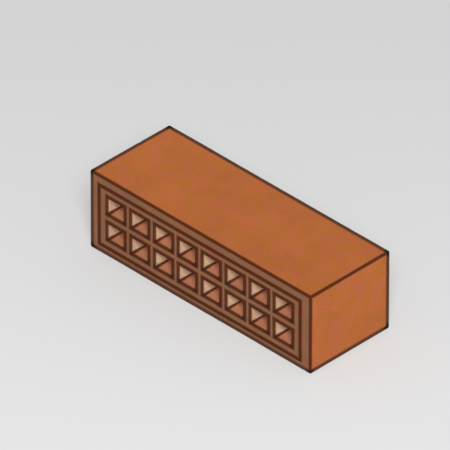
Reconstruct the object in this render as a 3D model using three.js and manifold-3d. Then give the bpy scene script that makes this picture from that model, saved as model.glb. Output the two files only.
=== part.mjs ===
// Clay air brick: one fired block in the stretcher format, with a raised grille panel on its face and two rows of
// square ventilation passages running from the panel to the back.
//
// Millimetres, +Z up. X runs along the brick, Y from the face (-Y) to the back (+Y). The origin is the middle of
// the bed face, so the brick stands on z = 0, and y = 0 is halfway between the panel and the back.
//
// The body is the outline of the clay column, cut to depth, with worn arrises. The panel stands proud of it and
// leaves a plain rim all round, where the mortar stops. Every passage is a pin's imprint: widest at the panel and
// closing in evenly towards the back.

import * as THREE from 'three';
import { mergeVertices } from 'three/addons/utils/BufferGeometryUtils.js';
import Module from 'manifold-3d';

// ---------------------------------------------------------------- driving dimensions

const BRICK_LENGTH = 215;
const BRICK_HEIGHT = 65;
const BODY_DEPTH = 77.5;         // rim of the face to the back
const COLUMN_CORNER_RADIUS = 1.2;  // the four long corners, left by the die
const CUT_ARRIS_RADIUS = 1.0;    // edges of the face and of the back
const ROUND_SEGMENTS = 3;        // facets in each rounded edge

const END_RIM = 9;               // end of the brick to the foot of the panel
const BED_RIM = 7.2;             // bed of the brick to the foot of the panel
const PANEL_RISE = 1;            // how far the panel stands out from the rim
const PANEL_DRAFT = 0.2;         // how far each side of the panel leans in over its rise
const PANEL_CORNER_RADIUS = 1.2;
const PANEL_ARRIS = 0.3;         // bevel round the panel's front

const PASSAGE_COLUMNS = 8;
const PASSAGE_ROWS = 2;
const MOUTH_WIDTH = 16.3;        // opening in the panel, between its walls
const MOUTH_HEIGHT = 13.5;
const PASSAGE_TAPER = 1.75;      // how far each wall of a passage closes in from the panel to the back
const PASSAGE_CORNER_RADIUS = 1.0;
const CORNER_SEGMENTS = 2;       // facets in each corner of the panel and of a passage
const MOUTH_ARRIS = 0.5;         // bevel round each end of a passage
const END_MARGIN = 8.65;         // foot of the panel to the first and last column of mouths
const BED_MARGIN = 7.75;         // foot of the panel to the bottom and top row of mouths

const CUT_PAST = 1;              // how far a cutting solid runs out of the face it opens
const MERGE_DISTANCE = 1e-4;     // points nearer than this are one corner

// ---------------------------------------------------------------- places worked out from them

const FACE_Y = -(BODY_DEPTH + PANEL_RISE) / 2;
const RIM_Y = FACE_Y + PANEL_RISE;
const BACK_Y = RIM_Y + BODY_DEPTH;
const MIDDLE_Z = BRICK_HEIGHT / 2;

const COLUMN_X = evenPlaces(PASSAGE_COLUMNS, BRICK_LENGTH - 2 * (END_RIM + END_MARGIN) - MOUTH_WIDTH);
const ROW_Z = evenPlaces(PASSAGE_ROWS, BRICK_HEIGHT - 2 * (BED_RIM + BED_MARGIN) - MOUTH_HEIGHT);

// Places of `count` centres spread evenly over `span`, about zero.
function evenPlaces(count, span) {
  if (count === 1) return [0];
  return Array.from({ length: count }, (_, i) => span * (i / (count - 1) - 0.5));
}

// ---------------------------------------------------------------- shapes and solids

const wasm = await Module();
wasm.setup();

// A closed three.js geometry as a manifold-3d solid. Triangles whose corners merge are left out.
function solidOf(geometry) {
  const bare = geometry.clone();
  bare.deleteAttribute('normal');
  bare.deleteAttribute('uv');
  const merged = mergeVertices(bare, MERGE_DISTANCE);
  const triangles = [];
  for (let i = 0; i < merged.index.count; i += 3) {
    const [a, b, c] = merged.index.array.slice(i, i + 3);
    if (a !== b && b !== c && c !== a) triangles.push(a, b, c);
  }
  return new wasm.Manifold(new wasm.Mesh({
    numProp: 3,
    vertProperties: new Float32Array(merged.attributes.position.array),
    triVerts: new Uint32Array(triangles),
  }));
}

// A manifold-3d solid as a flat-shaded three.js geometry.
function geometryOf(solid) {
  const mesh = solid.getMesh();
  const geometry = new THREE.BufferGeometry();
  geometry.setAttribute('position', new THREE.BufferAttribute(mesh.vertProperties, 3));
  geometry.setIndex(new THREE.BufferAttribute(mesh.triVerts, 1));
  const flat = geometry.toNonIndexed();
  flat.computeVertexNormals();
  return flat;
}

// A rectangle about the origin with round corners, as a shape in (x, z).
function roundedRectangle(width, height, radius) {
  const x = width / 2 - radius;
  const z = height / 2 - radius;
  const shape = new THREE.Shape();
  shape.absarc(x, -z, radius, -Math.PI / 2, 0);
  shape.absarc(x, z, radius, 0, Math.PI / 2);
  shape.absarc(-x, z, radius, Math.PI / 2, Math.PI);
  shape.absarc(-x, -z, radius, Math.PI, 1.5 * Math.PI);
  shape.closePath();
  return shape;
}

// A solid lofted through round-cornered sections about the Y axis, each { y, width, height, radius }, given from
// the face towards the back.
function loft(sections) {
  const rings = sections.map(({ y, width, height, radius }) =>
    roundedRectangle(width, height, radius).getPoints(CORNER_SEGMENTS).slice(0, -1)
      .map((point) => [point.x, y, point.y]));
  const count = rings[0].length;
  const triangles = [];
  for (let ring = 0; ring + 1 < rings.length; ring++) {
    for (let i = 0; i < count; i++) {
      const here = ring * count + i;
      const next = ring * count + ((i + 1) % count);
      triangles.push(here, here + count, next + count, here, next + count, next);
    }
  }
  const last = (rings.length - 1) * count;
  for (let i = 1; i + 1 < count; i++) {
    triangles.push(0, i, i + 1);
    triangles.push(last, last + i + 1, last + i);
  }
  const geometry = new THREE.BufferGeometry();
  geometry.setAttribute('position', new THREE.Float32BufferAttribute(rings.flat(2), 3));
  geometry.setIndex(triangles);
  return solidOf(geometry);
}

// The body before it is pierced: the column's outline swept from the rim to the back, with round arrises.
function body() {
  const outline = roundedRectangle(BRICK_LENGTH, BRICK_HEIGHT, COLUMN_CORNER_RADIUS);
  const geometry = new THREE.ExtrudeGeometry(outline, {
    depth: BODY_DEPTH - 2 * CUT_ARRIS_RADIUS,
    curveSegments: ROUND_SEGMENTS,
    bevelThickness: CUT_ARRIS_RADIUS,
    bevelSize: CUT_ARRIS_RADIUS,
    bevelOffset: -CUT_ARRIS_RADIUS,
    bevelSegments: ROUND_SEGMENTS,
  });
  geometry.rotateX(Math.PI / 2);
  geometry.translate(0, BACK_Y - CUT_ARRIS_RADIUS, 0);
  return solidOf(geometry);
}

// The panel that stands proud of the rim, with its foot a little way inside the body.
function panel() {
  const draftSlope = PANEL_DRAFT / PANEL_RISE;
  const section = (y, setIn) => ({
    y,
    width: BRICK_LENGTH - 2 * END_RIM - 2 * setIn,
    height: BRICK_HEIGHT - 2 * BED_RIM - 2 * setIn,
    radius: PANEL_CORNER_RADIUS,
  });
  return loft([
    section(FACE_Y, draftSlope * PANEL_RISE + PANEL_ARRIS),
    section(FACE_Y + PANEL_ARRIS, draftSlope * (PANEL_RISE - PANEL_ARRIS)),
    section(RIM_Y + CUT_PAST, -draftSlope * CUT_PAST),
  ]);
}

// The pin that leaves one passage, about the Y axis: flared by the mouth's bevel at both ends, tapered between.
function passagePin() {
  const section = (y, closedIn, flare) => ({
    y,
    width: MOUTH_WIDTH - 2 * closedIn + 2 * flare,
    height: MOUTH_HEIGHT - 2 * closedIn + 2 * flare,
    radius: PASSAGE_CORNER_RADIUS + flare,
  });
  const flarePast = MOUTH_ARRIS + CUT_PAST;
  return loft([
    section(FACE_Y - CUT_PAST, 0, flarePast),
    section(FACE_Y + MOUTH_ARRIS, 0, 0),
    section(BACK_Y - MOUTH_ARRIS, PASSAGE_TAPER, 0),
    section(BACK_Y + CUT_PAST, PASSAGE_TAPER, flarePast),
  ]);
}

function airBrick() {
  const pin = passagePin();
  let brick = body().add(panel());
  for (const x of COLUMN_X) {
    for (const z of ROW_Z) {
      brick = brick.subtract(pin.translate(x, 0, z));
    }
  }
  return brick;
}

// ---------------------------------------------------------------- the part

const firedClay = new THREE.MeshStandardMaterial({ color: 0xb4693c, roughness: 0.88, metalness: 0 });

const brick = new THREE.Mesh(geometryOf(airBrick()), firedClay);
brick.name = 'air_brick';
brick.position.z = MIDDLE_Z;

const part = new THREE.Group();
part.add(brick);

export default part;
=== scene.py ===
"""A fired clay air brick and the plain studio that it lies in, laid out as an add-on.

The brick is one skin: a face and a back that are cut into fine squares, a sleeve round the outside, and a
sleeve through every passage. Its edges are rounded, and the marks of the die, the cutting wire and the kiln
are moved into the surface. Sizes are in metres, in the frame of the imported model: X runs along the brick, Y
from its face to its back, and Z up.
"""

from math import cos, radians, sin, sqrt

import bpy
import numpy as np
from bpy.props import FloatProperty, FloatVectorProperty, IntProperty, PointerProperty
from bpy.types import Operator, Panel, PropertyGroup
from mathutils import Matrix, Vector, noise


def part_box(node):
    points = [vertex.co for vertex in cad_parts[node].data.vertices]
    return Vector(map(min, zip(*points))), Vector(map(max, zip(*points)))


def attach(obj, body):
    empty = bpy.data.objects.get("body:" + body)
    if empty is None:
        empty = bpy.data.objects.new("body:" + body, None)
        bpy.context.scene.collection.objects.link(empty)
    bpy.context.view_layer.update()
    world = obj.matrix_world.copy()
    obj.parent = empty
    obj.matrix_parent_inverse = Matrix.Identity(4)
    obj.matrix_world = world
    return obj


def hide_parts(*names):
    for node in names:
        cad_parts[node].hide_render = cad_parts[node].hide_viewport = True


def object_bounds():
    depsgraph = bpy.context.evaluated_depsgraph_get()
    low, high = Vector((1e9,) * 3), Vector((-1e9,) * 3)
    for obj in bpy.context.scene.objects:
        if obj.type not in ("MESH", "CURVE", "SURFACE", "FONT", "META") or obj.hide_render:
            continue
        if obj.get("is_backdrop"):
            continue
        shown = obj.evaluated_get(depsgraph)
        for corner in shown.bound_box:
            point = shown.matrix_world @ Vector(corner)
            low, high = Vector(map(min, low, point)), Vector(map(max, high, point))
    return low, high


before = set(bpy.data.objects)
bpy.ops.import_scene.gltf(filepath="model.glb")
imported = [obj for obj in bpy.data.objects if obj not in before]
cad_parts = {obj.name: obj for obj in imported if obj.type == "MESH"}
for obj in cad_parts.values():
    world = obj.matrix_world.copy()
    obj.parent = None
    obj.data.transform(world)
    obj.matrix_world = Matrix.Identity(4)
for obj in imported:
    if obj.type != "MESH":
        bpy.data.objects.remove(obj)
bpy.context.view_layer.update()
BRICK_LOW, BRICK_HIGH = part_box("air_brick")
BRICK_SIZE = BRICK_HIGH - BRICK_LOW

bl_info = {
    "name": "Fired Air Brick",
    "version": (1, 0, 0),
    "blender": (4, 5, 0),
    "location": "3D View > Sidebar > Air Brick",
    "description": "Makes a fired clay air brick with square passages, and a plain studio for it",
    "category": "Add Mesh",
}

MM = 0.001


# ---------------------------------------------------------------- sizes and colours


def size(name, description, default):
    """A length in metres that the sidebar shows with its unit."""
    return FloatProperty(
        name=name,
        description=description,
        default=default,
        min=0,
        precision=5,
        subtype="DISTANCE",
        unit="LENGTH",
    )


def share(name, description, default):
    """A strength or a factor that has no unit."""
    return FloatProperty(name=name, description=description, default=default, min=0)


def angle(name, description, degrees):
    """An angle, given in degrees."""
    return FloatProperty(name=name, description=description, default=radians(degrees), subtype="ANGLE")


def colour(name, description, red, green, blue):
    """A colour, given as the screen shows it, in steps from 0 to 255, and kept linear by the sRGB curve."""
    linear = [((c / 255 + 0.055) / 1.055) ** 2.4 for c in (red, green, blue)]
    return FloatVectorProperty(
        name=name, description=description, default=linear, size=3, min=0, max=1, subtype="COLOR"
    )


class BrickSizes(PropertyGroup):
    """The form of the brick."""

    length: size("Length", "Along the wall", BRICK_SIZE.x)
    depth: size("Depth", "Panel to back", BRICK_SIZE.y)
    height: size("Height", "Bed to bed", BRICK_SIZE.z)
    arris: size("Arris radius", "Rounding of the outer edges", 1.0 * MM)
    end_rim: size("End rim", "End of the brick to the foot of the panel", 9.0 * MM)
    bed_rim: size("Bed rim", "Bed of the brick to the foot of the panel", 7.2 * MM)
    rise: size("Panel rise", "How far the panel stands out from the rim", 1.0 * MM)
    panel_corner: size("Panel corner", "Radius of the panel's corners", 1.2 * MM)
    mouth_width: size("Mouth width", "A passage's opening in the panel, along the brick", 16.3 * MM)
    mouth_height: size("Mouth height", "A passage's opening in the panel, upwards", 13.5 * MM)
    taper: size("Taper", "How far each wall of a passage closes in towards the back", 1.75 * MM)
    passage_corner: size("Passage corner", "Radius where two walls of a passage meet", 1.0 * MM)
    mouth_arris: size("Mouth arris", "Rounding at each end of a passage", 0.5 * MM)
    end_margin: size("End margin", "Foot of the panel to the first column of mouths", 8.65 * MM)
    bed_margin: size("Bed margin", "Foot of the panel to the lowest row of mouths", 7.75 * MM)
    columns: IntProperty(name="Columns", description="Passages along the brick", default=8, min=2)
    rows: IntProperty(name="Rows", description="Passages one above another", default=2, min=2)


class ClayFinish(PropertyGroup):
    """The fired clay's colours and marks."""

    body: colour("Clay", "The fired body where it is sandy", 170, 99, 45)
    ruddy: colour("Ruddy clay", "The fired body where it holds more iron", 175, 96, 57)
    # Painted shade: the face is painted a darker brown, for the side turned from the light.
    face: colour("Face", "The face, browned by the kiln", 127, 87, 61)
    flush: share("Flush", "How much the ruddy clay shows through the browned face", 0.13)
    # Painted light: the passages' beds are painted lighter, and their side walls paler still, against the
    # shade inside.
    passage: colour("Passages", "The beds of the passages", 182, 121, 90)
    painted_wall_light: colour("Bloom", "Pale skin on the side walls of the passages", 219, 184, 151)
    # The dark band's colours below also paint the crease shade in the corners of the passages.
    flash: colour("Flash", "Dark band that the fire leaves along the arrises", 79, 23, 4)
    soot: colour("Soot", "What the dark band turns to where the smoke was thicker", 64, 33, 8)
    tar: colour("Tar", "The dark band along the left end, the lower bed and the back", 76, 50, 34)
    char: colour("Char", "Corners of the brick on those sides, and partly a mouth's lower ones", 28, 17, 13)
    burn: share("Burn", "How far the dark band hides the clay", 0.95)
    flash_core: size("Flash core", "Width of the darkest part on each side of an arris", 0.8 * MM)
    flash_reach: size("Flash reach", "Where the dark band ends on each side of an arris", 2.5 * MM)
    smoke: size("Smoke", "How much wider the dark band is on the left, below and behind", 2.0 * MM)
    mouth_smoke: size("Smoke at mouths", "How much wider it is above each mouth and to its right", 1.7 * MM)
    # Spreads the painted crease shade in the passages' corners farther onto their beds.
    crease_shade_spread: size("Settling", "How much farther the dark band reaches on the beds of the passages", 1.2 * MM)
    cloud: share("Clouding", "How strongly broad patches of the clay differ", 0.3)
    sand: share("Sand", "How strongly the coarse sand shows", 0.34)
    grit: share("Grit", "How strongly the finest grains show", 0.4)
    specks: share("Specks", "How dark the ironstone specks are", 0.25)
    warp: size("Warp", "How far drying and firing bend the form", 0.14 * MM)
    grain: size("Grain", "Depth of the sandy grain", 0.05 * MM)
    drag: size("Drag", "Depth of the marks drawn by the die", 0.05 * MM)
    pit: size("Pits", "Depth of the largest pits", 0.3 * MM)


class StudioSettings(PropertyGroup):
    """Camera, lamps and floor."""

    azimuth: angle("Azimuth", "Camera's turn from the face towards the right end", 45)
    elevation: angle("Elevation", "Camera's height above the horizon", 35.264)
    lens: FloatProperty(name="Lens", description="Focal length", default=1200, min=1, unit="CAMERA")
    view_width: size("View width", "Width of the picture at the brick", 0.3108)
    aside: size("Aside", "How far right of the picture's middle the brick lies", 9.55 * MM)
    below: size("Below", "How far below the picture's middle the brick lies", 16.55 * MM)
    key_azimuth: angle("Key azimuth", "Key lamp's turn from the face towards the right end", 47)
    key_elevation: angle("Key elevation", "Key lamp's height above the horizon", 41)
    key_softness: angle("Key softness", "How broad the key lamp is in the sky", 20)
    key_light: share("Key light", "Strength of the key lamp", 3.0)
    fill_light: share("Fill light", "Strength of the even light from all round", 0.45)
    near_grey: colour("Near grey", "Background before the brick", 228, 228, 228)
    far_grey: colour("Far grey", "Background behind the brick", 204, 204, 204)
    glow: share("Glow", "How bright the background shows where no lamp lights it", 1.05)
    veil: share("Veil", "How much of the background's glow lies over the shadows", 0.4)


# ---------------------------------------------------------------- the brick's skin


def soften(points, half, radius):
    """Moves points on a box about the origin that lie within radius of its edges onto the rounded edges."""
    core = np.clip(points, radius - half, half - radius)
    out = points - core
    reach = np.linalg.norm(out, axis=-1, keepdims=True)
    return core + out * radius / np.maximum(reach, radius)


def border(grid):
    """The outer entries of a grid in order, anticlockwise as the face is seen from the front."""
    return np.concatenate([grid[:-1, 0], grid[-1, :-1], grid[:0:-1, -1], grid[0, :0:-1]])


def crossings(across, up):
    """The crossings of two sets of lines, as (x, z)."""
    return np.stack(np.meshgrid(across, up, indexing="ij"), axis=-1)


class Skin:
    """The points and squares of one closed surface, gathered piece by piece."""

    def __init__(self):
        self.points = np.empty((0, 3))
        self.squares = np.empty((0, 4), int)

    def add_points(self, points):
        """Adds points and returns their numbers, in the same layout."""
        first = len(self.points)
        self.points = np.concatenate([self.points, points.reshape(-1, 3)])
        return np.arange(first, len(self.points)).reshape(points.shape[:-1])

    def add_squares(self, numbers, inward=False, keep=None):
        """Adds the squares between neighbouring point numbers in a grid."""
        corners = [numbers[:-1, :-1], numbers[1:, :-1], numbers[1:, 1:], numbers[:-1, 1:]]
        squares = np.stack(corners[::-1] if inward else corners, axis=-1)
        squares = squares.reshape(-1, 4) if keep is None else squares[keep]
        self.squares = np.concatenate([self.squares, squares])

    def add_sleeve(self, front, rings, back, inward=False):
        """Adds a sleeve from one row of point numbers to another, through rings of new points."""
        numbers = np.concatenate([front[None], self.add_points(rings), back[None]])
        self.add_squares(np.concatenate([numbers, numbers[:, :1]], axis=1), inward)

    def mesh(self, name):
        """The surface as a mesh, without the points that no square uses."""
        used, corners = np.unique(self.squares, return_inverse=True)
        mesh = bpy.data.meshes.new(name)
        mesh.from_pydata(self.points[used].tolist(), [], corners.reshape(-1, 4).tolist())
        mesh.validate()
        return mesh


class Layout:
    """Where the lines of the skin run, worked out from the brick's sizes."""

    ARRIS_SHARES = (0, 0.4)       # lines inside a rounded edge, as shares of its radius
    RIM_STEPS = 5
    PANEL_STEPS = 5
    WEB_STEPS = 4
    MOUTH_STEPS = 10              # between the corners of a mouth
    SLEEVE_STEP = 1.3 * MM        # along the outside, from face to back
    NEAR_DEPTHS = np.array([1.2, 2.6, 4.2, 6]) * MM     # rings of a passage close to its mouth
    DEEP_RINGS = 24                                     # rings in the rest of it
    DEEP_START, DEEP_STOP = 8 * MM, 4 * MM              # their distance from the face and from the back
    ROUND_TURNS = np.radians([30, 60, 90])              # rings in the rounding of its ends
    STEP_DEPTHS = (0, 0.14 * MM, 0.26 * MM, 0.5 * MM)   # in from the foot of the panel's step
    STEP_RISES = (0, 0.7, 0.92, 1)                      # its height there, as shares of the rise

    def __init__(self, s):
        self.s = s
        self.face_y = -s.depth / 2
        self.rim_y = self.face_y + s.rise
        self.back_y = s.depth / 2
        self.body_half = np.array([s.length, s.depth - s.rise, s.height]) / 2
        self.body_middle = np.array([0, (self.rim_y + self.back_y) / 2, s.height / 2])
        self.rims = (s.end_rim, s.bed_rim)
        self.column_x = self.centres(s.columns, s.length - 2 * (s.end_rim + s.end_margin) - s.mouth_width)
        self.row_z = self.centres(s.rows, s.height - 2 * (s.bed_rim + s.bed_margin) - s.mouth_height)

    @staticmethod
    def centres(count, span):
        """Places of that many centres, spread evenly over a span about zero."""
        return np.linspace(-span / 2, span / 2, count)

    def passage_half(self, y, flare=0):
        """Half the width and height of a passage at that depth, flared by the rounding of its ends."""
        closed = self.s.taper * (y - self.face_y) / self.s.depth
        return np.array([self.s.mouth_width, self.s.mouth_height]) / 2 - closed + flare

    def opening_lines(self, half, flare):
        """Lines across one opening about its centre, with two in the round of each corner."""
        corner = self.s.passage_corner + flare
        middle = np.linspace(corner - half, half - corner, self.MOUTH_STEPS + 1)
        tips = np.array([half, half - corner / 2])
        return np.concatenate([-tips, middle, tips[::-1]])

    def margin_lines(self, rim_width, reach):
        """Distances inwards from the outer edge of the face to an opening that far in."""
        arris = self.s.arris * np.array(self.ARRIS_SHARES)
        rim = np.linspace(self.s.arris, rim_width, self.RIM_STEPS + 1)[:-1]
        step = rim_width + np.array(self.STEP_DEPTHS)
        panel = np.linspace(step[-1], reach, self.PANEL_STEPS + 1)[1:]
        return np.concatenate([arris, rim, step, panel])

    def face_lines(self, span, centres, axis, y):
        """Lines across the face or the back, and the numbers of each opening's first and last line."""
        flare = self.s.mouth_arris
        opening = self.opening_lines(self.passage_half(y, flare)[axis], flare)
        mouth = self.passage_half(self.face_y, flare)[axis]
        fine = self.margin_lines(self.rims[axis], span / 2 + centres[0] - mouth)
        reach = span / 2 + centres[0] + opening[0]
        stretch = (reach - self.s.arris) / (fine[-1] - self.s.arris)
        margin = np.where(fine > self.s.arris, self.s.arris + (fine - self.s.arris) * stretch, fine)
        lines = list(margin[:-1] - span / 2)
        openings = []
        for centre in centres:
            if openings:
                lines += list(np.linspace(lines[-1], centre + opening[0], self.WEB_STEPS + 1)[1:-1])
            openings.append((len(lines), len(lines) + len(opening) - 1))
            lines += list(centre + opening)
        lines += list(span / 2 - margin[-2::-1])
        return np.array(lines), openings


def panel_height(layout, places):
    """How far the face stands out from the rim at each (x, z) place about its middle."""
    s = layout.s
    half = np.array([s.length, s.height]) / 2 - layout.rims
    past = np.abs(places) - (half - s.panel_corner)
    inside = s.panel_corner - np.linalg.norm(np.maximum(past, 0), axis=-1) - np.minimum(past.max(axis=-1), 0)
    return s.rise * np.interp(inside, layout.STEP_DEPTHS, layout.STEP_RISES)


def add_face(skin, layout, y, inward):
    """Adds the face or the back. Returns its point numbers, its (x, z) places and each opening's numbers."""
    s = layout.s
    across, columns = layout.face_lines(s.length, layout.column_x, 0, y)
    up, rows = layout.face_lines(s.height, layout.row_z, 1, y)
    places = crossings(across, up)
    side = -layout.body_half[1] if y == layout.face_y else layout.body_half[1]
    points = np.stack([places[..., 0], np.full(places.shape[:2], side), places[..., 1]], axis=-1)
    points = soften(points, layout.body_half, s.arris)
    if y == layout.face_y:
        points[..., 1] -= panel_height(layout, places)
    keep = np.ones((len(across) - 1, len(up) - 1), bool)
    half = layout.passage_half(y, s.mouth_arris)
    corner = s.passage_corner + s.mouth_arris
    for (i0, i1), x in zip(columns, layout.column_x):
        for (j0, j1), z in zip(rows, layout.row_z):
            keep[i0:i1, j0:j1] = False
            patch = points[i0 : i1 + 1, j0 : j1 + 1]
            rounded = soften(patch[..., [0, 2]] - (x, z), half, corner) + (x, z)
            edge = np.ones(patch.shape[:2], bool)
            edge[1:-1, 1:-1] = False
            patch[edge, 0] = rounded[edge, 0]
            patch[edge, 2] = rounded[edge, 1]
    numbers = skin.add_points(points + layout.body_middle)
    skin.add_squares(numbers, inward, keep)
    openings = [border(numbers[i0 : i1 + 1, j0 : j1 + 1]) for i0, i1 in columns for j0, j1 in rows]
    return numbers, places, openings


def sleeve_rings(layout, front_places, back_places):
    """Rings round the outside, from just behind the face to just before the back."""
    s = layout.s
    half_depth = layout.body_half[1]
    ends = s.arris * np.array([layout.ARRIS_SHARES[1], 1])
    steps = round(2 * half_depth / layout.SLEEVE_STEP)
    between = np.linspace(s.arris - half_depth, half_depth - s.arris, steps)[1:-1]
    depths = np.concatenate([ends - half_depth, between, half_depth - ends[::-1]])
    gone = ((depths + half_depth) / (2 * half_depth))[:, None, None]
    places = border(front_places) * (1 - gone) + border(back_places) * gone
    along_y = np.broadcast_to(depths[:, None], places.shape[:2])
    points = np.stack([places[..., 0], along_y, places[..., 1]], axis=-1)
    return soften(points, layout.body_half, s.arris) + layout.body_middle


def passage_rings(layout, x, z):
    """Rings through one passage, from just inside its mouth to just before the back."""
    s = layout.s
    flares = s.mouth_arris * (1 - np.sin(layout.ROUND_TURNS))
    sunk = s.mouth_arris * (1 - np.cos(layout.ROUND_TURNS))
    deep = np.linspace(layout.DEEP_START, s.depth - layout.DEEP_STOP, layout.DEEP_RINGS)
    between = np.concatenate([layout.NEAR_DEPTHS, deep])
    depths = np.concatenate([sunk, between, s.depth - sunk[::-1]])
    flares = np.concatenate([flares, np.zeros(len(between)), flares[::-1]])
    rings = []
    for depth, flare in zip(depths, flares):
        half = layout.passage_half(layout.face_y + depth, flare)
        lines = [layout.opening_lines(h, flare) for h in half]
        ring = soften(border(crossings(*lines)), half, s.passage_corner + flare)
        rings.append(np.insert(ring + (x, z + s.height / 2), 1, layout.face_y + depth, axis=-1))
    return np.array(rings)


def brick_mesh(sizes):
    """The brick's true form, before its surface is marked."""
    layout = Layout(sizes)
    skin = Skin()
    front, front_places, mouths = add_face(skin, layout, layout.face_y, inward=False)
    back, back_places, tails = add_face(skin, layout, layout.back_y, inward=True)
    skin.add_sleeve(border(front), sleeve_rings(layout, front_places, back_places), border(back))
    places = [(x, z) for x in layout.column_x for z in layout.row_z]
    for (x, z), mouth, tail in zip(places, mouths, tails):
        skin.add_sleeve(mouth, passage_rings(layout, x, z), tail, inward=True)
    return skin.mesh("fired_brick")


# ---------------------------------------------------------------- marks in the surface


COARSE_GRAIN = 2.8 * MM
FINE_GRAIN = 1.7 * MM
FINE_SHARE = 0.6                                # height of the fine grain against the coarse
CUT_FACING = 0.5                                # a normal's share along Y from which a face is a cut one
DRAG_WIDTH, DRAG_LENGTH = 2.2 * MM, 70 * MM     # of the lines drawn by the die, from face to back
TEAR_WIDTH, TEAR_LENGTH = 2.4 * MM, 9 * MM      # of the marks torn by the cutting wire, along the brick
TEAR_SLANT = 40 * MM                            # run over which a torn mark shifts by its own width
PIT_SPACING = 8 * MM
PITLESS = 0.45                                  # share of the places for a pit that stay whole
PIT_RADIUS, PIT_SPREAD = 0.09, 0.1              # the least radius of a pit and what chance adds, in spacings
CHANCE_SCALE = 7                                # sets apart the chances of neighbouring pits
WARP_SPAN = 48 * MM
WARP_SEED = 4                                   # without it, the warp would differ each time


def relief(point, normal, finish):
    """How far the surface stands out from its true form at a point, in metres."""
    grain = noise.noise(point / COARSE_GRAIN) + FINE_SHARE * noise.noise(point / FINE_GRAIN)
    height = finish.grain * grain
    if abs(normal.y) < CUT_FACING:
        streak = Vector((point.x / DRAG_WIDTH, point.y / DRAG_LENGTH, point.z / DRAG_WIDTH))
    else:
        streak = Vector((point.x / TEAR_LENGTH, point.y, point.z / TEAR_WIDTH + point.x / TEAR_SLANT))
    height += finish.drag * noise.noise(streak)
    distances, centres = noise.voronoi(point / PIT_SPACING)
    chance = noise.cell(centres[0] * CHANCE_SCALE)
    radius = PIT_RADIUS + PIT_SPREAD * chance
    if chance > PITLESS and distances[0] < radius:
        height -= finish.pit * (1 - (distances[0] / radius) ** 2) * chance
    return height


def mark_surface(mesh, finish):
    """Bends the form a little, as drying does, and moves the marks into the surface."""
    noise.seed_set(WARP_SEED)
    normals = [Vector(n.vector) for n in mesh.vertex_normals]
    for vertex, normal in zip(mesh.vertices, normals):
        point = vertex.co.copy()
        bend = noise.noise_vector(point / WARP_SPAN) * finish.warp
        vertex.co = point + bend + normal * relief(point, normal, finish)


# ---------------------------------------------------------------- shader graphs


class Channel:
    """A number in a shader graph. Python's operators on it add the Math nodes that work them out."""

    def __init__(self, graph, socket):
        self.graph = graph
        self.socket = socket

    def math(self, operation, *values):
        """Adds a Math node and returns what it works out."""
        return self.graph.node("ShaderNodeMath", {"operation": operation}, dict(enumerate(values)))[0]

    def __add__(self, other):
        return self.math("ADD", self, other)

    def __radd__(self, other):
        return self.math("ADD", other, self)

    def __sub__(self, other):
        return self.math("SUBTRACT", self, other)

    def __rsub__(self, other):
        return self.math("SUBTRACT", other, self)

    def __mul__(self, other):
        return self.math("MULTIPLY", self, other)

    def __rmul__(self, other):
        return self.math("MULTIPLY", other, self)

    def __truediv__(self, other):
        return self.math("DIVIDE", self, other)

    def __rtruediv__(self, other):
        return self.math("DIVIDE", other, self)

    def __abs__(self):
        return self.math("ABSOLUTE", self)

    def floor(self):
        return self.math("FLOOR", self)

    def least(self, other):
        return self.math("MINIMUM", self, other)

    def most(self, other):
        return self.math("MAXIMUM", self, other)

    def rise(self, low, high):
        """0 up to low, 1 from high, and smooth between."""
        inputs = {"Value": self, "From Min": low, "From Max": high}
        return self.graph.node("ShaderNodeMapRange", {"interpolation_type": "SMOOTHSTEP"}, inputs)[0]


class Node:
    """A node whose outputs are read as channels, by name or number."""

    def __init__(self, graph, node):
        self.graph = graph
        self.node = node

    def __getitem__(self, key):
        return Channel(self.graph, self.node.outputs[key])


class Graph:
    """A material's or a world's node tree, emptied and built up by calls."""

    MIX_FACTOR, MIX_FIRST, MIX_SECOND, MIXED = 0, 6, 7, 2    # a Mix node's sockets for colours

    def __init__(self, owner):
        owner.use_nodes = True
        self.tree = owner.node_tree
        self.tree.nodes.clear()

    def node(self, kind, settings=None, inputs=None):
        """Adds a node, sets it up, and feeds its inputs with numbers, colours or channels."""
        node = self.tree.nodes.new(kind)
        for name, value in (settings or {}).items():
            setattr(node, name, value)
        for key, value in (inputs or {}).items():
            if isinstance(value, Channel):
                self.tree.links.new(value.socket, node.inputs[key])
            else:
                node.inputs[key].default_value = value
        return Node(self, node)

    def mix(self, factor, first, second, blend="MIX"):
        """One colour turned into another, or blended with it, by a factor."""
        settings = {"data_type": "RGBA", "blend_type": blend, "clamp_factor": True}
        first, second = (c if isinstance(c, Channel) else (*c, 1) for c in (first, second))
        inputs = {self.MIX_FACTOR: factor, self.MIX_FIRST: first, self.MIX_SECOND: second}
        return self.node("ShaderNodeMix", settings, inputs)[self.MIXED]

    def scale(self, first, factor):
        """A colour made brighter or darker by a factor."""
        return self.node("ShaderNodeVectorMath", {"operation": "SCALE"}, {0: first, "Scale": factor})[0]

    def noise(self, place, lump, detail, roughness):
        """Soft noise about zero, in lumps of that size."""
        inputs = {"Vector": place, "Scale": 1 / lump, "Detail": detail, "Roughness": roughness}
        return self.node("ShaderNodeTexNoise", None, inputs)["Fac"] - 0.5

    def seen_rays(self):
        """1 for what the camera sees, straight or in gloss or glass, and 0 for what lights the brick."""
        path = self.node("ShaderNodeLightPath")
        return path["Is Camera Ray"].most(path["Is Glossy Ray"]).most(path["Is Transmission Ray"])


# ---------------------------------------------------------------- fired clay


def fold(value, pitch, count):
    """Place along a row of openings that is even about zero, counted from the middle of the nearest one."""
    nearest = (value / pitch + count / 2).floor().most(0).least(count - 1)
    return value - (nearest + (0.5 - count / 2)) * pitch


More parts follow.
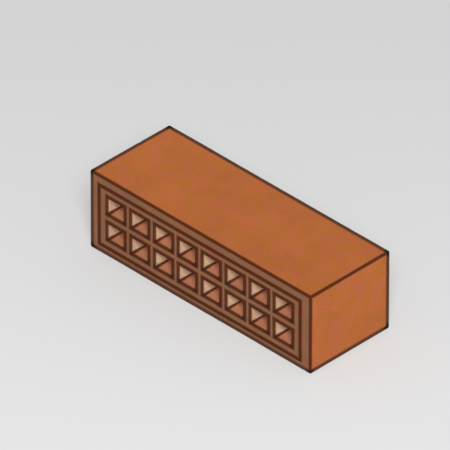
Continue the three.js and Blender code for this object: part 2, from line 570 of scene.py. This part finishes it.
class Places:
    """How far a point of the clay lies from the brick's edges, as channels, in metres."""

    SWITCH = 0.1 * MM        # half the width over which one side gives way to the other
    SMOKE_TURN = 0.1         # half the change of facing over which a face that smoke drew over begins
    LINED = 0.2 * MM, 0.5 * MM    # past a passage's wall, where what counts as in the passage ends
    FAR = 1.0                # a distance that no mark reaches
    CORNER_SHARE = 0.8       # where two walls meet, a distance counts that much, so the dark band is wider
    CORNER_FADE = 0.06       # how much farther off such a corner counts for each metre from the mouth

    def __init__(self, graph, sizes, finish):
        self.sizes = sizes
        self.finish = finish
        self.layout = layout = Layout(sizes)
        coordinates = graph.node("ShaderNodeTexCoord")
        self.place = coordinates["Object"]
        split = graph.node("ShaderNodeSeparateXYZ", None, {0: self.place})
        self.x, self.y, self.z = split[0], split[1], split[2] - sizes.height / 2
        facing = graph.node("ShaderNodeSeparateXYZ", None, {0: coordinates["Normal"]})
        self.facing_up = facing[2]
        swept = facing[0] - facing[1] + facing[2]    # above zero on the right end, the face and the top
        self.smoked = swept.rise(-self.SMOKE_TURN, self.SMOKE_TURN)
        self.inward = self.y - layout.face_y
        self.along = fold(self.x, layout.column_x[1] - layout.column_x[0], sizes.columns)
        self.up = fold(self.z, layout.row_z[1] - layout.row_z[0], sizes.rows)
        closed = self.inward * (sizes.taper / sizes.depth)
        self.beside = abs(self.along) - sizes.mouth_width / 2 + closed
        self.above = abs(self.up) - sizes.mouth_height / 2 + closed
        self.outside = self.beside.most(self.above)
        self.in_passage = 1 - self.outside.rise(*self.LINED)
        self.to_ends = self.drifted(sizes.length / 2 - abs(self.x), 0 - self.x, finish.smoke)
        self.to_beds = self.drifted(sizes.height / 2 - abs(self.z), 0 - self.z, finish.smoke)
        back = self.drifted(layout.back_y - self.y, self.y, finish.smoke)
        self.to_cuts = (self.y - layout.rim_y).least(back)

    def drifted(self, distance, side, smoke):
        """A distance, less by smoke where side is above zero on the swept faces, to widen a mark there."""
        return distance - side.rise(-self.SWITCH, self.SWITCH) * self.smoked * smoke

    def to_arris(self):
        """To the nearest outer edge: the middle one of the distances to the ends, the beds and the cuts."""
        ends, beds, cuts = self.to_ends, self.to_beds, self.to_cuts
        return ends.least(cuts).most(ends.most(cuts).least(beds))

    def to_vertex(self):
        """To the nearest corner of the brick: the largest of the same three."""
        return self.to_ends.most(self.to_beds).most(self.to_cuts)

    def to_smoked_side(self):
        """To the nearest of the left end, the lower bed and the back."""
        left = self.x + self.sizes.length / 2
        bed = self.z + self.sizes.height / 2
        return left.least(bed).least(self.layout.back_y - self.y)

    def to_step(self):
        """To a line along the step round the panel, which leans over it as the smoke was drawn."""
        rise = self.sizes.rise
        lean = self.inward.most(0).least(rise) - rise / 2
        foot = self.layout.STEP_DEPTHS[-1]
        ends = self.sizes.length / 2 - self.sizes.end_rim - foot - abs(self.x + lean)
        beds = self.sizes.height / 2 - self.sizes.bed_rim - foot - abs(self.z + lean)
        return abs(ends.least(beds)).most(self.y - self.layout.rim_y)

    def to_mouth(self):
        """To the edge of the nearest mouth in the panel."""
        smoke = self.finish.mouth_smoke
        sides = self.drifted(self.beside, self.along, smoke).most(self.drifted(self.above, self.up, smoke))
        return sides.most(self.inward)

    def to_low_corner(self):
        """To the nearest lower corner of a mouth: the largest of its distances to two walls and the panel."""
        walls = abs(self.beside).most(abs(self.above))
        return walls.most(self.inward) + self.up.rise(-self.SWITCH, self.SWITCH) * self.FAR

    def to_tail(self):
        """To the edge of the nearest passage in the back."""
        return self.outside.most(self.layout.back_y - self.y)

    def to_corner(self):
        """To the nearest corner between two walls of a passage, for its painted crease shade; less on its
        bed, where that shade reaches farther.
        """
        gap = self.finish.flash_core - self.facing_up * self.finish.crease_shade_spread - self.beside.least(self.above)
        faded = gap * self.CORNER_SHARE + self.inward * self.CORNER_FADE
        return faded + (1 - self.in_passage) * self.FAR

    def to_edge(self):
        """To the nearest edge of any kind."""
        near = self.to_arris().least(self.to_step()).least(self.to_mouth())
        return near.least(self.to_tail()).least(self.to_corner())


# Each noise is given by the size of its lumps, its detail and its roughness.
CLOUDS = 26 * MM, 4, 0.5                    # broad patches of the clay
IRON = 11 * MM, 3, 0.5                      # ruddy patches
SMOKE = 13 * MM, 3, 0.5                     # patches of thicker smoke
SAND = 1.1 * MM, 3, 0.7
GRIT = 0.5 * MM, 2, 0.6                     # the finest grains
SPECKS = 1.9 * MM, 1, 0.5                   # ironstone
FINE_WAVER = 2.4 * MM, 3, 0.5               # unevenness of the dark band's edge
BROAD_WAVER = 17 * MM, 3, 0.5
FINE_BUMPS = 1.4 * MM, 4, 0.65
BUMPS = 4.2 * MM, 2, 0.5

IRON_EDGE, SMOKE_EDGE = 0.15, 0.2           # how softly those patches end
SPECK_LIMITS = 0.19, 0.26                   # of their noise, where a speck begins and where it is full
FINE_WAVER_HEIGHT, BROAD_WAVER_HEIGHT = 0.35 * MM, 0.25 * MM
TAR_LIMITS = 2.5 * MM, 4.5 * MM             # from a side that smoke came from, where the tar ends
CHAR_LIMITS = 1 * MM, 5 * MM                # from a corner of the brick, where the char ends
LOW_CORNER_LIMITS = 0.5 * MM, 3 * MM            # from a mouth's lower corner, where its darkening ends
LOW_CORNER_SHARE = 0.6                              # how far the dark band turns to char there
FACE_LIMITS = 0.2 * MM, 0.8 * MM            # behind the rim, where the face's darker brown of painted shade gives way to the body
WALL_LIMITS = -0.2 * MM, 0.2 * MM           # past a passage's corner, where a bed gives way to a side wall
DEEP_LIMITS = 0, 16 * MM                    # inwards, where a passage's lining is painted paler, painted light against the shade deeper in
MOUTH_TONE, DEEP_TONE = 0.9, 0.4            # its brightness at the mouth, and what it gains
LINING_COVER = 0.95                         # how far the lining hides the clay
FINE_BUMP, GRIT_BUMP = 0.5, 0.5             # heights of the finer bumps and of the grit against BUMPS
BUMP_STRENGTH, BUMP_HEIGHT = 0.5, 0.25 * MM
ROUGHNESS, SANDY_ROUGHNESS = 0.88, 0.2      # of the clay, and what sand adds
SHINE = 0.12                                # specular level of the dull, unglazed skin
SHARP_ANGLE = radians(50)                   # an edge bent more than this is shaded sharp


def clay_material(sizes, finish):
    """Fired clay whose colour follows the form: dark along edges, painted shade in passage corners, a brown
    face of painted shade, passages painted pale as painted light.
    """
    material = bpy.data.materials.new("fired_clay")
    graph = Graph(material)
    spot = Places(graph, sizes, finish)
    place = spot.place
    cloud = graph.noise(place, *CLOUDS) * finish.cloud
    sand = graph.noise(place, *SAND)
    grit = graph.noise(place, *GRIT)

    iron = graph.noise(place, *IRON).rise(-IRON_EDGE, IRON_EDGE)
    on_face = 1 - (spot.y - spot.layout.rim_y).rise(*FACE_LIMITS)
    # Painted shade: the face takes a darker brown than the body.
    face = graph.mix(iron * finish.flush, finish.face, finish.ruddy)
    outer = graph.mix(on_face, graph.mix(iron, finish.body, finish.ruddy), face)

    # Painted light: side walls painted paler than beds, and the whole lining paler deeper in.
    side_wall = (spot.beside - spot.above).rise(*WALL_LIMITS)
    tone = MOUTH_TONE + spot.inward.rise(*DEEP_LIMITS) * DEEP_TONE
    lining = graph.scale(graph.mix(side_wall, finish.passage, finish.painted_wall_light), tone)

    colour = graph.mix(spot.in_passage * (LINING_COVER + cloud), outer, lining)
    colour = graph.scale(colour, 1 + cloud + sand * finish.sand + grit * finish.grit)
    specks = graph.noise(place, *SPECKS).rise(*SPECK_LIMITS)
    colour = graph.mix(specks * finish.specks, colour, finish.flash)

    # Dark bands along all edges; in the corners of the passages they are painted crease shade.
    distance = spot.to_edge() + graph.noise(place, *FINE_WAVER) * FINE_WAVER_HEIGHT
    distance = distance + graph.noise(place, *BROAD_WAVER) * BROAD_WAVER_HEIGHT
    dark = 1 - distance.rise(finish.flash_core, finish.flash_reach)
    smoke = graph.noise(place, *SMOKE).rise(-SMOKE_EDGE, SMOKE_EDGE)
    tarred = 1 - spot.to_smoked_side().rise(*TAR_LIMITS)
    low_corner_dark = 1 - spot.to_low_corner().rise(*LOW_CORNER_LIMITS)
    charred = (tarred * (1 - spot.to_vertex().rise(*CHAR_LIMITS))).most(low_corner_dark * LOW_CORNER_SHARE)
    burn_and_crease_shade = graph.mix(tarred, graph.mix(smoke, finish.flash, finish.soot), finish.tar)
    burn_and_crease_shade = graph.mix(charred, burn_and_crease_shade, finish.char)
    colour = graph.mix(dark * (finish.burn + charred * (1 - finish.burn)), colour, burn_and_crease_shade)

    height = graph.noise(place, *FINE_BUMPS) * FINE_BUMP + graph.noise(place, *BUMPS) + grit * GRIT_BUMP
    bump = {"Strength": BUMP_STRENGTH, "Distance": BUMP_HEIGHT, "Height": height}
    inputs = {
        "Base Color": colour,
        "Roughness": ROUGHNESS + sand * SANDY_ROUGHNESS,
        "Specular IOR Level": SHINE,
        "Normal": graph.node("ShaderNodeBump", None, bump)["Normal"],
    }
    shader = graph.node("ShaderNodeBsdfPrincipled", None, inputs)["BSDF"]
    graph.node("ShaderNodeOutputMaterial", None, {"Surface": shader})
    return material


class AddAirBrick(Operator):
    """Make the fired brick, in place of the plain solid"""

    bl_idname = "object.air_brick_add"
    bl_label = "Add Air Brick"

    def execute(self, context):
        sizes, finish = context.scene.brick_sizes, context.scene.clay_finish
        mesh = brick_mesh(sizes)
        mark_surface(mesh, finish)
        mesh.shade_smooth()
        mesh.set_sharp_from_angle(angle=SHARP_ANGLE)
        mesh.materials.append(clay_material(sizes, finish))
        brick = bpy.data.objects.new("fired_brick", mesh)
        context.scene.collection.objects.link(brick)
        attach(brick, "root")
        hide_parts("air_brick")
        return {"FINISHED"}


# ---------------------------------------------------------------- studio


FLOOR_HALF = 20                 # metres
FADE_LIMITS = -0.42, 0.48       # behind the brick, where the floor goes from the near to the far grey
FAR_LIMITS = 0.8, 2.5           # from the brick, where the floor turns into the surround
CLIP_DISTANCES = 4              # how many times the brick's distance the camera sees
WHITE = 1, 1, 1


def away_from(azimuth, elevation):
    """The direction from the brick towards a lamp or camera at those angles."""
    return Vector((sin(azimuth) * cos(elevation), -cos(azimuth) * cos(elevation), sin(elevation)))


def add_camera(scene, studio, middle):
    """Sets up the camera, with the brick a little off the middle of the picture."""
    data = bpy.data.cameras.new("camera")
    data.lens = studio.lens
    distance = studio.view_width * studio.lens / data.sensor_width
    data.clip_end = distance * CLIP_DISTANCES
    back = away_from(studio.azimuth, studio.elevation)
    turn = back.to_track_quat("Z", "Y")
    aim = middle + turn @ Vector((-studio.aside, studio.below, 0))
    camera = bpy.data.objects.new("camera", data)
    camera.rotation_mode = "QUATERNION"
    camera.rotation_quaternion = turn
    camera.location = aim + back * distance
    scene.collection.objects.link(camera)
    scene.camera = camera


def add_key_lamp(scene, studio):
    """Adds the key lamp, a soft sun."""
    data = bpy.data.lights.new("key_lamp", "SUN")
    data.angle = studio.key_softness
    data.energy = studio.key_light
    lamp = bpy.data.objects.new("key_lamp", data)
    lamp.rotation_mode = "QUATERNION"
    lamp.rotation_quaternion = away_from(studio.key_azimuth, studio.key_elevation).to_track_quat("Z", "Y")
    scene.collection.objects.link(lamp)


def background(graph, colour, strength):
    """A surround of one colour."""
    return graph.node("ShaderNodeBackground", None, {"Color": (*colour, 1), "Strength": strength})[0]


def light_world(scene, studio):
    """An even white surround for light, which the camera sees as the far grey."""
    world = bpy.data.worlds.new("surround")
    graph = Graph(world)
    light = background(graph, WHITE, studio.fill_light)
    shown = background(graph, studio.far_grey, studio.glow)
    mixed = graph.node("ShaderNodeMixShader", None, {0: graph.seen_rays(), 1: light, 2: shown})[0]
    graph.node("ShaderNodeOutputWorld", None, {"Surface": mixed})
    scene.world = world


def floor_material(studio):
    """Pale paper that takes the shadow, and fades into the surround far from the brick."""
    material = bpy.data.materials.new("studio_floor")
    graph = Graph(material)
    place = graph.node("ShaderNodeTexCoord")["Object"]
    split = graph.node("ShaderNodeSeparateXYZ", None, {0: place})
    behind = (split[1] - split[0]) / sqrt(2)
    grey = graph.mix(behind.rise(*FADE_LIMITS), studio.near_grey, studio.far_grey)
    distance = graph.node("ShaderNodeVectorMath", {"operation": "LENGTH"}, {0: place})["Value"]
    far = distance.rise(*FAR_LIMITS)
    paper = graph.node("ShaderNodeBsdfDiffuse", None, {"Color": grey})[0]
    glow = {"Color": graph.mix(far, grey, studio.far_grey), "Strength": studio.glow}
    glow = graph.node("ShaderNodeEmission", None, glow)[0]
    shown = (studio.veil + far * (1 - studio.veil)) * graph.seen_rays()
    mixed = graph.node("ShaderNodeMixShader", None, {0: shown, 1: paper, 2: glow})[0]
    graph.node("ShaderNodeOutputMaterial", None, {"Surface": mixed})
    return material


def add_floor(scene, studio, level):
    """Adds the floor that the brick lies on."""
    mesh = bpy.data.meshes.new("floor")
    corners = [(x * FLOOR_HALF, y * FLOOR_HALF, level) for x, y in ((-1, -1), (1, -1), (1, 1), (-1, 1))]
    mesh.from_pydata(corners, [], [(0, 1, 2, 3)])
    mesh.materials.append(floor_material(studio))
    floor = bpy.data.objects.new("floor", mesh)
    scene.collection.objects.link(floor)
    floor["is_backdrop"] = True


class SetUpStudio(Operator):
    """Make the floor, the lamps and the camera"""

    bl_idname = "scene.air_brick_studio"
    bl_label = "Set Up Studio"

    def execute(self, context):
        scene = context.scene
        studio = scene.brick_studio
        add_floor(scene, studio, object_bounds()[0].z)
        light_world(scene, studio)
        add_key_lamp(scene, studio)
        add_camera(scene, studio, (BRICK_LOW + BRICK_HIGH) / 2)
        scene.view_settings.view_transform = "Standard"
        return {"FINISHED"}


class AirBrickPanel(Panel):
    """Sizes, finish and studio of the air brick"""

    bl_idname = "VIEW3D_PT_air_brick"
    bl_label = "Air Brick"
    bl_space_type = "VIEW_3D"
    bl_region_type = "UI"
    bl_category = "Air Brick"

    def draw(self, context):
        scene = context.scene
        for operator, groups in (
            (AddAirBrick, (scene.brick_sizes, scene.clay_finish)),
            (SetUpStudio, (scene.brick_studio,)),
        ):
            box = self.layout.box()
            for group in groups:
                for name in group.__annotations__:
                    box.prop(group, name)
            box.operator(operator.bl_idname)


CLASSES = (BrickSizes, ClayFinish, StudioSettings, AddAirBrick, SetUpStudio, AirBrickPanel)


def register():
    for cls in CLASSES:
        bpy.utils.register_class(cls)
    bpy.types.Scene.brick_sizes = PointerProperty(type=BrickSizes)
    bpy.types.Scene.clay_finish = PointerProperty(type=ClayFinish)
    bpy.types.Scene.brick_studio = PointerProperty(type=StudioSettings)


def unregister():
    del bpy.types.Scene.brick_studio
    del bpy.types.Scene.clay_finish
    del bpy.types.Scene.brick_sizes
    for cls in reversed(CLASSES):
        bpy.utils.unregister_class(cls)


def main():
    """Makes the brick and its studio."""
    register()
    bpy.ops.object.air_brick_add()
    bpy.ops.scene.air_brick_studio()


if __name__ == "__main__":
    main()
